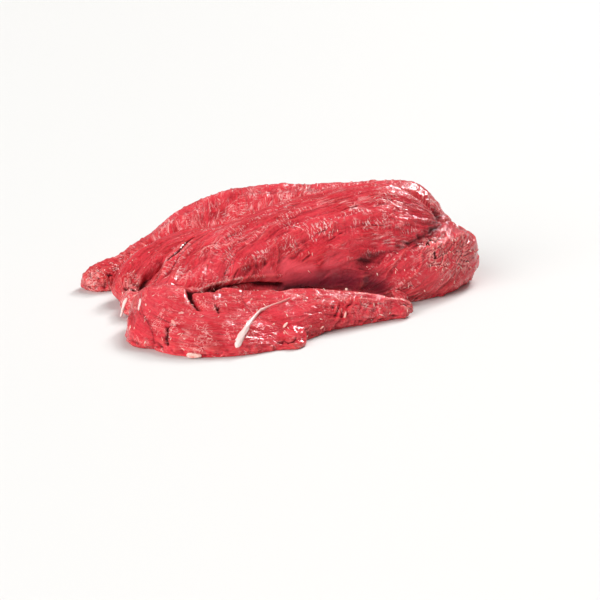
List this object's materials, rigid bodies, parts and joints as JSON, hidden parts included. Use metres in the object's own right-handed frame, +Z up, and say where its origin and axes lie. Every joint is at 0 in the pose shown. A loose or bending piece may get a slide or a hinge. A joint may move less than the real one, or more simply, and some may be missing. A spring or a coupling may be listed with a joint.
{
  "type": "whole beef tenderloin (filet mignon)",
  "caption": "Whole raw trimmed beef tenderloin lying folded: a thick rounded head, a side strap behind and the thin tail turned under and brought back along the front.",
  "frame": {"origin": "middle of the bounding box, on the plane that the meat rests on", "axes": "+X along the longest extent, towards the thick head; +Z up from the table; +Y away from the folded tail"},
  "size_m": [0.2785, 0.2499, 0.0714],
  "materials": {
    "raw_beef": "moist raw muscle, semi-gloss, with fine pale fibres, membrane and a white strip of tendon"
  },
  "bodies": {
    "root": {"tenderloin": "raw_beef"}
  },
  "joints": []
}
